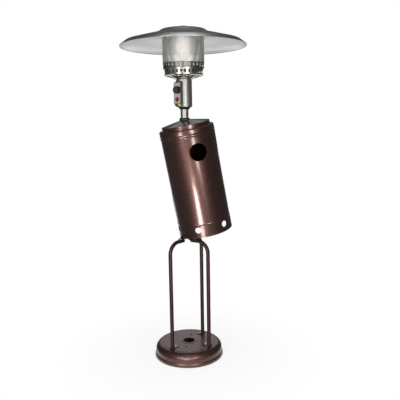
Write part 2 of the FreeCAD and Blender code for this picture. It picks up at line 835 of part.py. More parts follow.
def gas_valve():
    """Valve block with its outlet and inlet bosses and the bore for the stem."""
    owner = new_body("gas_valve")
    block = new_sketch(owner, "XZ_Plane")
    draw_box(block, ("-valve_back", VALVE_BOTTOM), ("valve_front", VALVE_TOP))
    pad(owner, block, "valve_width", middle=True)
    bosses = new_sketch(owner, "XY_Plane", lift=f"{VALVE_BOTTOM} - valve_boss_height")
    draw_circle(bosses, "valve_boss_radius")
    pad(owner, bosses, "2 * valve_half + 2 * valve_boss_height")
    bore = new_sketch(owner, "YZ_Plane", lift="valve_front - stem_depth")
    draw_circle(bore, "stem_radius + run_gap", "0", VALVE_LINE)
    cut(owner, bore, "2 * stem_depth")
    node(on_panel(owner))
    inlet_top = f"({VALVE_BOTTOM} - valve_boss_height)"
    node(turned("gas_inlet", [
        ("0", f"{inlet_top} - inlet_length"),
        ("inlet_radius * 0.7", f"{inlet_top} - inlet_length"),
        ("inlet_radius", f"{inlet_top} - inlet_length * 0.7"),
        ("inlet_radius * 0.7", f"{inlet_top} - inlet_length * 0.6"),
        ("inlet_radius * 0.7", f"{inlet_top} - inlet_length * 0.3"),
        ("inlet_radius * 1.3", f"{inlet_top} - inlet_length * 0.3"),
        ("inlet_radius * 1.3", inlet_top),
        ("0", inlet_top),
    ]))


def valve_bracket():
    """Angle bracket from the control floor up the side of the valve."""
    owner = new_body("valve_bracket")
    side = new_sketch(owner, "YZ_Plane")
    inner = "(valve_width / 2)"
    outer = f"({inner} + bracket_thickness)"
    toe = f"({outer} + 4 * bracket_thickness)"
    draw(side, [
        (inner, CONTROL_FLOOR),
        (toe, CONTROL_FLOOR),
        (toe, f"{CONTROL_FLOOR} + bracket_thickness"),
        (outer, f"{CONTROL_FLOOR} + bracket_thickness"),
        (outer, f"{VALVE_BOTTOM} + bracket_grip"),
        (inner, f"{VALVE_BOTTOM} + bracket_grip"),
    ])
    pad(owner, side, "bracket_width", middle=True)
    return node(on_panel(owner))


def knob_parts():
    """Stem, knob, the sliding collar that the stem turns in, and its return spring."""
    stem_tip = "(valve_front - stem_depth + 2 * push_travel)"
    socket = f"({KNOB_BACK} + knob_socket)"
    node(on_panel(turned("valve_stem", [
        (stem_tip, "0"),
        (socket, "0"),
        (socket, "stem_radius"),
        (stem_tip, "stem_radius"),
    ], axis="H_Axis"), VALVE_LINE))
    face = f"({KNOB_BACK} + knob_depth)"
    bore = "stem_radius + run_gap"
    knob = turned("control_knob", [
        (KNOB_BACK, bore),
        (KNOB_BACK, "knob_radius"),
        (f"{KNOB_BACK} + knob_depth * 0.3", "knob_radius"),
        (f"{face} - knob_depth * 0.1", "knob_radius * 0.86"),
        (face, "knob_radius * 0.76"),
        (face, "0"),
        (f"{socket} + run_gap", "0"),
        (f"{socket} + run_gap", bore),
    ], axis="H_Axis")
    node(on_panel(knob, VALVE_LINE))
    collar_back = "(valve_front + stem_spring_length + push_travel)"
    collar = turned("stem_collar", [
        (collar_back, bore),
        (f"{collar_back} + stem_collar_width", bore),
        (f"{collar_back} + stem_collar_width", "stem_collar_radius"),
        (collar_back, "stem_collar_radius"),
    ], axis="H_Axis")
    node(on_panel(collar, VALVE_LINE))
    spring_end = f"({collar_back} - push_travel - rest_gap)"
    spring = turned("stem_spring", [
        ("valve_front", "stem_spring_radius - stem_spring_wall"),
        (spring_end, "stem_spring_radius - stem_spring_wall"),
        (spring_end, "stem_spring_radius"),
        ("valve_front", "stem_spring_radius"),
    ], axis="H_Axis")
    node(on_panel(spring, VALVE_LINE))


def igniter_parts():
    """Push igniter: barrel through the panel, bezel ring, button and return spring."""
    back = "(nose_reach - igniter_depth)"
    mouth = f"({PANEL_FRONT} + igniter_collar)"
    bore = "(igniter_radius - igniter_wall)"
    node(on_panel(turned("igniter_body", [
        (back, "0"),
        (f"{back} + igniter_cap", "0"),
        (f"{back} + igniter_cap", bore),
        (mouth, bore),
        (mouth, "igniter_radius"),
        (back, "igniter_radius"),
    ], axis="H_Axis"), IGNITER_LINE))
    node(on_panel(turned("igniter_bezel", [
        (PANEL_FRONT, "igniter_radius + run_gap"),
        (mouth, "igniter_radius + run_gap"),
        (mouth, "bezel_radius - igniter_wall"),
        (PANEL_FRONT, "bezel_radius"),
    ], axis="H_Axis"), IGNITER_LINE))
    button_front = f"({mouth} + button_proud)"
    button_back = f"({button_front} - button_length)"
    button_edge = f"({bore} - slide_gap)"
    node(on_panel(turned("igniter_button", [
        (button_back, "0"),
        (button_front, "0"),
        (button_front, f"{button_edge} - 1"),
        (f"{button_front} - 1", button_edge),
        (button_back, button_edge),
    ], axis="H_Axis"), IGNITER_LINE))
    spring_end = f"({button_back} - igniter_travel - rest_gap)"
    node(on_panel(turned("igniter_spring", [
        (f"{back} + igniter_cap", "stem_radius - stem_spring_wall / 2"),
        (spring_end, "stem_radius - stem_spring_wall / 2"),
        (spring_end, "stem_radius + stem_spring_wall / 2"),
        (f"{back} + igniter_cap", "stem_radius + stem_spring_wall / 2"),
    ], axis="H_Axis"), IGNITER_LINE))


def tilt_switch():
    """Safety switch box standing on the control floor behind the valve."""
    owner = new_body("tilt_switch")
    sketch = new_sketch(owner, "XY_Plane", lift=CONTROL_FLOOR)
    draw_box(sketch, ("-tilt_switch_reach", "-tilt_switch_width / 2"),
             ("-tilt_switch_reach + tilt_switch_size", "tilt_switch_width / 2"))
    pad(owner, sketch, "tilt_switch_height")
    return node(on_panel(owner))


def burner_cone():
    """Slotted bowl: collar in the barrel, flared cone, upright band and top lip."""
    collar = f"({CONTROL_BORE} - fit_gap)"
    top = f"({CONE_TOP} + band_height + burner_wall)"
    wall = "burner_wall"
    owner = turned("burner_cone", [
        (LIP_RADIUS, f"{top} - {wall}"),
        ("band_radius + band_flare", f"{top} - {wall}"),
        ("band_radius", f"{CONE_TOP} + {wall}"),
        ("band_radius + cone_hem", f"{CONE_TOP} + {wall}"),
        ("band_radius + cone_hem", CONE_TOP),
        (collar, f"{CONTROL_TOP} + {wall}"),
        (collar, f"{CONTROL_TOP} - cone_collar"),
        (f"{collar} - {wall}", f"{CONTROL_TOP} - cone_collar"),
        (f"{collar} - {wall}", f"{CONTROL_TOP} + 2 * {wall}"),
        (f"band_radius - {wall}", f"{CONE_TOP} - {wall}"),
        (f"band_radius + band_flare - {wall}", top),
        (LIP_RADIUS, top),
    ])
    slot = new_sketch(owner, "XY_Plane", lift=CONTROL_TOP)
    wide = "(cone_slot_width + cone_slot_flare) / 2"
    draw(slot, [
        ("cone_slot_inner", "-cone_slot_width / 2"),
        ("cone_slot_outer", f"-{wide}"),
        ("cone_slot_outer", wide),
        ("cone_slot_inner", "cone_slot_width / 2"),
    ])
    around(owner, cut(owner, slot, "cone_height"), "cone_slots")
    window = new_sketch(owner, "YZ_Plane")
    middle = f"({CONE_TOP} + band_height / 2)"
    draw_box(window, ("-band_slot_width / 2", f"{middle} - band_slot_height / 2"),
             ("band_slot_width / 2", f"{middle} + band_slot_height / 2"))
    around(owner, cut(owner, window, "base_radius"), "band_slots")
    radial_hole(owner, "control_screw_radius + fit_gap", f"{CONTROL_TOP} - control_screw_drop",
                "control_screw_azimuth", "3")
    return node(owner)


def burner_inside():
    """Jet, mixing tube and burner head on the axis, fed from the valve."""
    node(turned("gas_jet", bored("jet_bore", "jet_radius", JET_BOTTOM, VENTURI_BOTTOM)))
    bore = "(venturi_radius - venturi_wall)"
    flange = "(venturi_radius + venturi_flange)"
    node(turned("venturi_tube", [
        ("jet_radius / 2", VENTURI_BOTTOM),
        ("venturi_radius", VENTURI_BOTTOM),
        ("venturi_radius", f"{BURNER_BOTTOM} - venturi_wall"),
        (flange, f"{BURNER_BOTTOM} - venturi_wall"),
        (flange, BURNER_BOTTOM),
        (bore, BURNER_BOTTOM),
        (bore, f"{VENTURI_BOTTOM} + venturi_wall"),
        ("jet_radius / 2", f"{VENTURI_BOTTOM} + venturi_wall"),
    ]))
    top = f"({BURNER_BOTTOM} + burner_height)"
    node(turned("burner_head", [
        (bore, BURNER_BOTTOM),
        ("burner_radius", BURNER_BOTTOM),
        ("burner_radius", top),
        ("0", top),
        ("0", f"{top} - venturi_wall"),
        ("burner_radius - venturi_wall", f"{top} - venturi_wall"),
        ("burner_radius - venturi_wall", f"{BURNER_BOTTOM} + venturi_wall"),
        (bore, f"{BURNER_BOTTOM} + venturi_wall"),
    ]))


def pilot_parts():
    """Plate on the burner's flank with the pilot, thermocouple and spark electrode."""
    owner = new_body("pilot_plate")
    sketch = new_sketch(owner, "XY_Plane", lift=PILOT_PLATE)
    draw_box(sketch, ("-burner_radius - pilot_plate_reach", "-pilot_plate_width / 2"),
             ("-burner_radius * 0.9", "pilot_plate_width / 2"))
    pad(owner, sketch, "pilot_plate_thickness")
    clear = new_sketch(owner, "XY_Plane", lift=PILOT_PLATE)
    draw_circle(clear, "burner_radius + fit_gap")
    cut(owner, clear, "pilot_plate_thickness")
    node(on_panel(owner))
    base = f"({PILOT_PLATE} + pilot_plate_thickness)"
    tip = f"{base} + pilot_height"
    pieces = (
        ("pilot_burner", "-pilot_offset", "pilot_radius", "0.6"),
        ("thermocouple", "pilot_offset", "pilot_radius * 0.7", "0.3"),
        ("spark_electrode", "0", "pilot_radius * 0.8", "0.25"),
    )
    for label, side, radius, taper in pieces:
        piece = turned(label, [
            ("0", base),
            (radius, base),
            (radius, f"{base} + pilot_height * 0.7"),
            (f"{radius} * {taper}", tip),
            ("0", tip),
        ])
        node(place(piece, "panel_azimuth", reach="-pilot_reach", side=side))


def lead(label, side, finish_reach, finish_height):
    """Thin tube from under the pilot plate, down the burner's throat and forward to its end."""
    owner = new_body(label)
    start = f"({PILOT_PLATE} - fit_gap)"
    throat = f"({CONTROL_TOP} + lead_bend)"
    corners = [
        ("-pilot_reach", start),
        ("-pilot_reach", f"({BURNER_BOTTOM} - lead_bend)"),
        ("-lead_reach", throat),
        ("-lead_reach", finish_height),
        (finish_reach, finish_height),
    ]
    spots = [FreeCAD.Vector(number(across), 0, number(up)) for across, up in corners]
    edges = []
    entry = spots[0]
    for before, corner, after in zip(spots, spots[1:], spots[2:]):
        way_in = before.sub(corner).normalize()
        way_out = after.sub(corner).normalize()
        half_turn = (math.pi - way_in.getAngle(way_out)) / 2
        setback = number("lead_bend") * math.tan(half_turn)
        first = corner.add(FreeCAD.Vector(way_in).multiply(setback))
        last = corner.add(FreeCAD.Vector(way_out).multiply(setback))
        bisector = way_in.add(way_out).normalize()
        inset = number("lead_bend") / math.cos(half_turn) - number("lead_bend")
        middle = corner.add(bisector.multiply(inset))
        edges.append(Part.LineSegment(entry, first).toShape())
        edges.append(Part.Arc(first, middle, last).toShape())
        entry = last
    edges.append(Part.LineSegment(entry, spots[-1]).toShape())
    ring = Part.Circle(spots[0], FreeCAD.Vector(0, 0, 1), number("lead_radius")).toShape()
    tube = Part.Wire(edges).makePipeShell([Part.Wire([ring])], True, False)
    doc.removeObject(owner.Name)
    piece = doc.addObject("Part::Feature", label)
    piece.Label = label
    piece.Shape = tube
    return node(place(piece, "panel_azimuth", side=side))


def leads():
    """Pilot gas tube and thermocouple lead to the valve, spark lead to the igniter."""
    valve_face = "(-valve_back - fit_gap)"
    igniter_face = "(nose_reach - igniter_depth - fit_gap)"
    lead("pilot_tube", "-pilot_offset", valve_face, f"({VALVE_LINE} + valve_half / 2)")
    lead("thermocouple_lead", "pilot_offset", valve_face, VALVE_LINE)
    lead("spark_lead", "0", igniter_face, IGNITER_LINE)


def emitter():
    """Slotted base ring, screen and closing plate of the radiant cylinder."""
    wall = "emitter_wall"
    edge = "emitter_base_radius"
    owner = turned("emitter_base", [
        (f"{edge} - {wall} - band_flare", LIP_TOP),
        (edge, LIP_TOP),
        (edge, f"{EMITTER_BOTTOM} - {wall}"),
        ("emitter_radius", f"{EMITTER_BOTTOM} - {wall}"),
        ("emitter_radius", EMITTER_BOTTOM),
        (f"{edge} - {wall}", EMITTER_BOTTOM),
        (f"{edge} - {wall}", f"{LIP_TOP} + {wall}"),
        (f"{edge} - {wall} - band_flare", f"{LIP_TOP} + {wall}"),
    ])
    middle = f"({LIP_TOP} + emitter_base_height / 2)"
    window = new_sketch(owner, "YZ_Plane")
    draw_box(window, ("-emitter_slot_width / 2", f"{middle} - emitter_slot_height / 2"),
             ("emitter_slot_width / 2", f"{middle} + emitter_slot_height / 2"))
    around(owner, cut(owner, window, "base_radius"), "emitter_slots")
    node(owner)
    screen_top = f"({EMITTER_BOTTOM} + emitter_height)"
    node(turned("emitter_screen", bored(
        f"emitter_radius - {wall}", "emitter_radius", EMITTER_BOTTOM, screen_top)))
    plate = turned("emitter_top", bored("stud_radius + fit_gap", "emitter_radius",
                                        screen_top, EMITTER_TOP))
    node(plate)


def reflector():
    """Dish on three spacers, raised crown, and the stud and wing nut that hold them."""
    path = [
        ("stud_radius + hole_gap", DISH_FLAT),
        ("dish_flat_radius", DISH_FLAT),
        ("lip_radius", f"{DISH_FLAT} - dish_rise"),
        ("reflector_radius", RIM_TOP),
        ("reflector_radius", f"{RIM_TOP} - hem_height"),
    ]
    node(turned("reflector_dish", thin(path, "reflector_wall")))
    spacers = []
    for index in range(3):
        spacer = turned(f"reflector_spacer_{index}", bored(
            "0", "spacer_radius", EMITTER_TOP, f"{EMITTER_TOP} + spacer_height"))
        spacers.append(place(spacer, spread(index, "leg_azimuth"), reach="spacer_circle"))
    group("reflector_spacers", spacers)
    brow = "(crown_radius - crown_edge)"
    brow_height = f"({DISH_FLAT} + crown_edge_height)"
    inner_brow = f"({brow} - reflector_wall)"
    stud_hole = "stud_radius + hole_gap"

    def dome(reach):
        return f"(({reach}) * ({reach}) + crown_rise * crown_rise) / (2 * crown_rise)"

    def dome_height(level, reach):
        fall = f"({dome(reach)}) - sqrt(({dome(reach)})^2 - ({stud_hole})^2)"
        return f"{level} - ({fall})"

    node(turned("reflector_crown", [
        (stud_hole, dome_height(CROWN_TOP, brow), dome(brow), -1),
        (brow, brow_height),
        ("crown_radius", DISH_FLAT),
        ("crown_radius - 1.5 * reflector_wall", DISH_FLAT),
        (inner_brow, f"{brow_height} - reflector_wall", dome(inner_brow), 1),
        (stud_hole, dome_height(f"({CROWN_TOP} - reflector_wall)", inner_brow)),
    ]))
    nut_bottom = f"({CROWN_TOP} + fit_gap)"
    nut_top = f"({nut_bottom} + wing_nut_height)"
    stud_low = f"({EMITTER_TOP} - emitter_top_wall)"
    node(turned("reflector_stud", [
        ("0", f"{stud_low} - nut_height"),
        ("2 * stud_radius", f"{stud_low} - nut_height"),
        ("2 * stud_radius", stud_low),
        ("stud_radius", stud_low),
        ("stud_radius", nut_top),
        ("0", nut_top),
    ]))
    wing = new_body("wing_nut")
    hub_sketch = new_sketch(wing, "XZ_Plane")
    draw(hub_sketch, [
        ("stud_radius + run_gap", nut_bottom),
        ("wing_nut_radius", nut_bottom),
        ("wing_nut_radius * 0.75", nut_top),
        ("stud_radius + run_gap", nut_top),
    ])
    revolve(wing, hub_sketch)
    for sign in ("", "-"):
        blade = new_sketch(wing, "XZ_Plane")
        draw(blade, [
            (f"{sign}wing_nut_radius * 0.7", f"{nut_bottom} + wing_nut_height * 0.3"),
            (f"{sign}wing_span", f"{nut_bottom} + wing_nut_height * 0.6"),
            (f"{sign}wing_span", f"{nut_top} + wing_nut_height * 0.3"),
            (f"{sign}wing_nut_radius * 0.7", f"{nut_bottom} + wing_nut_height * 0.8"),
        ])
        pad(wing, blade, "wing_thickness", middle=True)
    node(wing)


def lean(owner):
    """Set a housing piece, drawn upright from its bottom edge, to the leaning pose."""
    axis = FreeCAD.Vector(math.sin(math.radians(number("housing_lean_azimuth"))),
                          -math.cos(math.radians(number("housing_lean_azimuth"))), 0)
    owner.Placement = FreeCAD.Placement(
        FreeCAD.Vector(), FreeCAD.Rotation(axis, number(TILT)))
    shift = f"housing_length * sin({TILT})"
    owner.setExpression("Placement.Rotation.Angle", linked(TILT))
    owner.setExpression("Placement.Base.x", linked(f"{shift} * cos(housing_lean_azimuth)"))
    owner.setExpression("Placement.Base.y", linked(f"{shift} * sin(housing_lean_azimuth)"))
    owner.setExpression(
        "Placement.Base.z", linked(f"{PIVOT} - housing_length * cos({TILT})"))
    return owner


def bead(height):
    """Three corners of a rolled bead on the housing's side, from its upper edge down."""
    return [
        ("housing_radius", f"{height} + bead_half"),
        ("housing_radius + bead_depth", height),
        ("housing_radius", f"{height} - bead_half"),
    ]


def housing_shell():
    """Tall sheet cylinder with a rounded shoulder, beads, a hem, and its round holes."""
    path = [
        ("lid_radius - land_width", HOUSING_LAND),
        ("housing_radius - housing_shoulder", HOUSING_LAND, "housing_shoulder", -1),
        ("housing_radius", f"{HOUSING_LAND} - housing_shoulder"),
        *bead("(housing_length - bead_upper_drop)"),
        *bead("(housing_length - bead_second_drop)"),
        *bead("bead_lower_height"),
        ("housing_radius", "hem_band"),
        (RIM_EDGE, "hem_band - hem_depth"),
        (RIM_EDGE, "0"),
    ]
    owner = turned("housing_shell", thin(path, "housing_wall"))
    sketch = new_sketch(owner, "YZ_Plane", turn="access_hole_azimuth")
    draw_circle(sketch, "access_hole_radius", "0", "housing_length - access_hole_drop")
    cut(owner, sketch, "base_radius")
    radial_hole(owner, "vent_hole_radius", "vent_hole_height", "vent_hole_azimuth", "vent_holes")
    for index in range(4):
        rivet_hole = new_sketch(owner, "XY_Plane", lift=f"{HOUSING_LAND} - 2 * housing_wall")
        turn = 90 * index + 45
        draw_circle(rivet_hole, "rivet_radius + fit_gap",
                    f"(lid_radius - lid_flange / 2) * cos({turn})",
                    f"(lid_radius - lid_flange / 2) * sin({turn})")
        cut(owner, rivet_hole, "4 * housing_wall")
    return node(lean(owner))


def housing_lid():
    """Stepped lid: upright band, flat cone and the hole that rocks on the guide collar."""
    wall = "housing_wall"
    hole = "(guide_radius + slide_gap)"
    foot = "(lid_radius - lid_flange)"
    owner = turned("housing_lid", [
        (hole, "housing_length"),
        ("lid_radius", LID_RIM),
        ("lid_radius", HOUSING_LAND),
        (foot, HOUSING_LAND),
        (foot, f"{HOUSING_LAND} + {wall}"),
        (f"lid_radius - {wall}", f"{HOUSING_LAND} + {wall}"),
        (f"lid_radius - {wall}", f"{LID_RIM} - {wall}"),
        (hole, f"housing_length - {wall}"),
    ])
    for index in range(4):
        turn = 90 * index + 45
        rivet_hole = new_sketch(owner, "XY_Plane", lift=f"{HOUSING_LAND} - {wall}")
        draw_circle(rivet_hole, "rivet_radius + fit_gap",
                    f"(lid_radius - lid_flange / 2) * cos({turn})",
                    f"(lid_radius - lid_flange / 2) * sin({turn})")
        cut(owner, rivet_hole, f"3 * {wall}")
    node(lean(owner))


def lid_rivets():
    """Four rivets that hold the lid's foot to the shell's land, in one upright group."""
    rivets = []
    low = f"({HOUSING_LAND} - housing_wall)"
    high = f"({HOUSING_LAND} + housing_wall)"
    for index in range(4):
        rivet = turned(f"lid_rivet_{index}", [
            ("0", f"{low} - housing_wall"),
            ("rivet_head", f"{low} - housing_wall"),
            ("rivet_head", low),
            ("rivet_radius", low),
            ("rivet_radius", high),
            ("rivet_head", high),
            ("rivet_head", f"{high} + housing_wall"),
            ("0", f"{high} + housing_wall"),
        ])
        rivets.append(place(rivet, f"({90 * index + 45})", reach="lid_radius - lid_flange / 2"))
    lean(group("lid_rivets", rivets))


def guide_collar():
    """Sliding collar on the post, round outside, on which the lid's hole rocks."""
    edge = "sqrt(guide_radius^2 - guide_half^2)"
    owner = turned("guide_collar", [
        ("post_radius + slide_gap", "0"),
        (edge, "0", "guide_radius", 1),
        (edge, "2 * guide_half"),
        ("post_radius + slide_gap", "2 * guide_half"),
    ])
    node(place(owner, height=f"{PIVOT} - guide_half"))


def build():
    """Make every node in turn, from the floor up."""
    base_shell()
    base_inside()
    legs()
    hub()
    post()
    head_collar()
    control_floor()
    control_housing()
    control_panel()
    control_screws()
    gas_valve()
    valve_bracket()
    knob_parts()
    igniter_parts()
    tilt_switch()
    burner_cone()
    burner_inside()
    pilot_parts()
    leads()
    emitter()
    reflector()
    guide_collar()
    housing_shell()
    housing_lid()
    lid_rivets()


def proved():
    """Recompute, and stop if an object failed or a node's shape isn't sound."""
    doc.recompute()
    for item in doc.Objects:
        if "Invalid" in item.State or "Error" in item.State:
            raise ValueError(f"{item.Label} did not build: {item.State}")
    for item in nodes:
        if item.Shape.isNull() or not item.Shape.isValid() or not item.Shape.Solids:
            raise ValueError(f"{item.Label} has no sound shape")


def write():
    """One STEP file for each node."""
    os.makedirs("parts", exist_ok=True)
    for item in nodes:
        item.Shape.exportStep(os.path.join("parts", f"{item.Label}.step"))
    print(f"{len(nodes)} nodes, housing's pivot at {number(PIVOT):.4f} mm, tilt {number(TILT):.4f} degrees")


build()
proved()
write()
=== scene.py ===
"""Looks of the patio gas heater: finishes, perforated emitter, knob, and the plain studio."""
import json
import math
import bmesh
import bpy
import numpy as np
from mathutils import Matrix, Vector


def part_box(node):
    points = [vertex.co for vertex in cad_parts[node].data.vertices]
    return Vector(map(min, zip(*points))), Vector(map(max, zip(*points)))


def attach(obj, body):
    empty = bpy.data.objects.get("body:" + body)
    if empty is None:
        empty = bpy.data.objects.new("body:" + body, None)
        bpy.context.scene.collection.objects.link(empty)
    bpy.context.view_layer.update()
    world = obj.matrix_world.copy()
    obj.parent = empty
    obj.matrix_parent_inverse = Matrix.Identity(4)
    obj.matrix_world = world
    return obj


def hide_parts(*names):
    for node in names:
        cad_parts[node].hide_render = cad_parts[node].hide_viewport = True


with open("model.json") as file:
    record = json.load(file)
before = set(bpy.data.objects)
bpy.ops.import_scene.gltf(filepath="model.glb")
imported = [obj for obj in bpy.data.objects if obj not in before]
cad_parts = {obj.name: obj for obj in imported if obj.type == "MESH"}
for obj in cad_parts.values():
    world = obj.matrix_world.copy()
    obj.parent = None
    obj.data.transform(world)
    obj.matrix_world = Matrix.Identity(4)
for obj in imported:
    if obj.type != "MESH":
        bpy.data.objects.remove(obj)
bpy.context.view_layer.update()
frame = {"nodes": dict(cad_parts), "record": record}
TAU = 2 * math.pi

# sizes in metres that repeat the solids
PANEL_TURN = math.radians(232)
EMITTER_RADIUS = 0.133
EMITTER_WALL = 0.0008
EMITTER_LOW, EMITTER_HIGH = (corner.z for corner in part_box("emitter_screen"))
KNOB_BACK = 0.077
KNOB_DEPTH = 0.021
KNOB_RADIUS = 0.0235
KNOB_LINE = sum(corner.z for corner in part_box("control_knob")) / 2
NOSE_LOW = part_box("control_floor")[0].z + 0.001
BEVEL_START = 0.052
BEVEL_RUN = 0.018
BEVEL_RISE = 0.019
DOT_RADIUS = 0.0098
DOT_ASIDE = 0.011
SCREW_TURNS = (272, 32, 152)
SCREW_SHANK = 0.0022
SCREW_HEAD = 0.005
SCREW_TIP = 0.046
SCREW_SEAT = 0.0511
SCREW_DOME = 0.0029

# how a noise is stretched: not at all, or drawn out along the height
EVEN = (1, 1, 1)
UPRIGHT = (1, 1, 0.08)

# the photograph's view, in metres, degrees and millimetres
CAMERA_PLACE = (0.0916, -3.287, 1.571)
CAMERA_PITCH = 8.67
CAMERA_ROLL = -0.88
CAMERA_LENS = 45.04
CAMERA_SENSOR = 36


# mesh helpers

def new_piece(name, points, faces, body, finish, replaced=(), smooth_angle=30):
    """A mesh object from arrays, merged, shaded smooth up to an angle, and tied to a body."""
    mesh = bpy.data.meshes.new(name)
    mesh.from_pydata(np.asarray(points, float).tolist(), [], [list(face) for face in faces])
    work = bmesh.new()
    work.from_mesh(mesh)
    bmesh.ops.remove_doubles(work, verts=work.verts, dist=2e-6)
    bmesh.ops.recalc_face_normals(work, faces=work.faces)
    work.to_mesh(mesh)
    work.free()
    mesh.polygons.foreach_set("use_smooth", np.ones(len(mesh.polygons), bool))
    piece = bpy.data.objects.new(name, mesh)
    bpy.context.scene.collection.objects.link(piece)
    split = piece.modifiers.new("crease", "EDGE_SPLIT")
    split.split_angle = math.radians(smooth_angle)
    mesh.materials.append(finish)
    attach(piece, body)
    if replaced:
        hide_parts(*replaced)
    return piece


def grid_faces(rows, columns, wrap=True):
    """Quads of a grid of points, row by row, joined round its columns where it wraps."""
    across = columns if wrap else columns - 1
    row, column = np.meshgrid(np.arange(rows - 1), np.arange(across), indexing="ij")
    following = (column + 1) % columns
    quads = np.stack([row * columns + column, row * columns + following,
                      (row + 1) * columns + following, (row + 1) * columns + column], axis=-1)
    return quads.reshape(-1, 4)


def panel_frame(local):
    """Points drawn with X out of the control nose, turned to where the nose looks."""
    cosine, sine = math.cos(PANEL_TURN), math.sin(PANEL_TURN)
    x, y, z = local[..., 0], local[..., 1], local[..., 2]
    return np.stack([x * cosine - y * sine, x * sine + y * cosine, z], axis=-1)


# finishes

def start_finish(name, colour, metallic, roughness):
    """A material with one Principled shader, its constants set on the shader's sockets."""
    finish = bpy.data.materials.new(name)
    finish.use_nodes = True
    tree = finish.node_tree
    shader = tree.nodes["Principled BSDF"]
    shader.inputs["Base Color"].default_value = (*colour, 1)
    shader.inputs["Metallic"].default_value = metallic
    shader.inputs["Roughness"].default_value = roughness
    return finish, tree, shader


def pattern(tree, kind, scale, stretch=(1, 1, 1), detail=3.0):
    """A noise or cell texture on Object coordinates, stretched by a Mapping node."""
    place = tree.nodes.new("ShaderNodeTexCoord")
    mapping = tree.nodes.new("ShaderNodeMapping")
    mapping.inputs["Scale"].default_value = stretch
    tree.links.new(place.outputs["Object"], mapping.inputs["Vector"])
    texture = tree.nodes.new(kind)
    texture.inputs["Scale"].default_value = scale
    if "Detail" in texture.inputs:
        texture.inputs["Detail"].default_value = detail
    tree.links.new(mapping.outputs["Vector"], texture.inputs["Vector"])
    return texture


def tint(tree, shader, value, dark, light, low=0.3, high=0.7):
    """Base colour between two tones, by a texture's value."""
    ramp = tree.nodes.new("ShaderNodeValToRGB")
    ramp.color_ramp.elements[0].position = low
    ramp.color_ramp.elements[1].position = high
    ramp.color_ramp.elements[0].color = (*dark, 1)
    ramp.color_ramp.elements[1].color = (*light, 1)
    tree.links.new(value, ramp.inputs["Fac"])
    tree.links.new(ramp.outputs["Color"], shader.inputs["Base Color"])


def gloss(tree, shader, value, low, high):
    """Roughness between two amounts, by a texture's value."""
    spread = tree.nodes.new("ShaderNodeMapRange")
    spread.inputs["From Min"].default_value = 0.25
    spread.inputs["From Max"].default_value = 0.75
    spread.inputs["To Min"].default_value = low
    spread.inputs["To Max"].default_value = high
    tree.links.new(value, spread.inputs["Value"])
    tree.links.new(spread.outputs["Result"], shader.inputs["Roughness"])


def relief(tree, shader, value, depth, strength=1.0):
    """Fine surface relief of a depth in metres, by a texture's value."""
    bump = tree.nodes.new("ShaderNodeBump")
    bump.inputs["Distance"].default_value = depth
    bump.inputs["Strength"].default_value = strength
    tree.links.new(value, bump.inputs["Height"])
    tree.links.new(bump.outputs["Normal"], shader.inputs["Normal"])


def hammered_bronze(name, dark, light, rough, coat, coat_rough):
    """Dark red-brown metallic stove paint with a fine dimpled skin, under a clear top if it has
    a coat."""
    finish, tree, shader = start_finish(name, light, 0.92, rough[0])
    cloud = pattern(tree, "ShaderNodeTexNoise", 55, detail=4)
    tint(tree, shader, cloud.outputs["Fac"], dark, light)
    dimple = pattern(tree, "ShaderNodeTexVoronoi", 300)
    gloss(tree, shader, dimple.outputs["Distance"], *rough)
    relief(tree, shader, dimple.outputs["Distance"], 0.00004, 0.3)
    shader.inputs["Coat Weight"].default_value = coat
    shader.inputs["Coat Roughness"].default_value = coat_rough
    return finish


def spun_metal(name, dark, light, rough, scale=260):
    """Bare metal spun on a lathe: fine rings, from noise read along the distance to the axis."""
    finish, tree, shader = start_finish(name, light, 1.0, rough[0])
    place = tree.nodes.new("ShaderNodeTexCoord")
    flat = tree.nodes.new("ShaderNodeMapping")
    flat.inputs["Scale"].default_value = (1, 1, 0)
    reach = tree.nodes.new("ShaderNodeVectorMath")
    reach.operation = "LENGTH"
    rings = tree.nodes.new("ShaderNodeTexNoise")
    rings.noise_dimensions = "1D"
    rings.inputs["Scale"].default_value = scale
    rings.inputs["Detail"].default_value = 4
    tree.links.new(place.outputs["Object"], flat.inputs["Vector"])
    tree.links.new(flat.outputs["Vector"], reach.inputs[0])
    tree.links.new(reach.outputs["Value"], rings.inputs["W"])
    tint(tree, shader, rings.outputs["Fac"], dark, light)
    gloss(tree, shader, rings.outputs["Fac"], *rough)
    relief(tree, shader, rings.outputs["Fac"], 0.00004, 0.3)
    return finish


def sheet_metal(name, dark, light, rough, stretch, scale=60, depth=0.00003):
    """Bare sheet metal with drawn streaks in one direction."""
    finish, tree, shader = start_finish(name, light, 1.0, rough[0])
    streak = pattern(tree, "ShaderNodeTexNoise", scale, stretch, 5)
    tint(tree, shader, streak.outputs["Fac"], dark, light)
    gloss(tree, shader, streak.outputs["Fac"], *rough)
    relief(tree, shader, streak.outputs["Fac"], depth, 0.4)
    return finish


def moulded(name, dark, light, rough, grain=900, depth=0.00004):
    """Moulded plastic or rubber with a fine grain."""
    finish, tree, shader = start_finish(name, light, 0.0, rough[0])
    speck = pattern(tree, "ShaderNodeTexNoise", grain, detail=2)
    tint(tree, shader, speck.outputs["Fac"], dark, light)
    gloss(tree, shader, speck.outputs["Fac"], *rough)
    relief(tree, shader, speck.outputs["Fac"], depth, 0.5)
    return finish


def cast(name, dark, light, metallic, rough, scale, depth):
    """Cast surface with coarse pores."""
    finish, tree, shader = start_finish(name, light, metallic, rough[0])
    pore = pattern(tree, "ShaderNodeTexVoronoi", scale)
    tint(tree, shader, pore.outputs["Distance"], dark, light, 0.1, 0.6)
    gloss(tree, shader, pore.outputs["Distance"], *rough)
    relief(tree, shader, pore.outputs["Distance"], depth)
    return finish


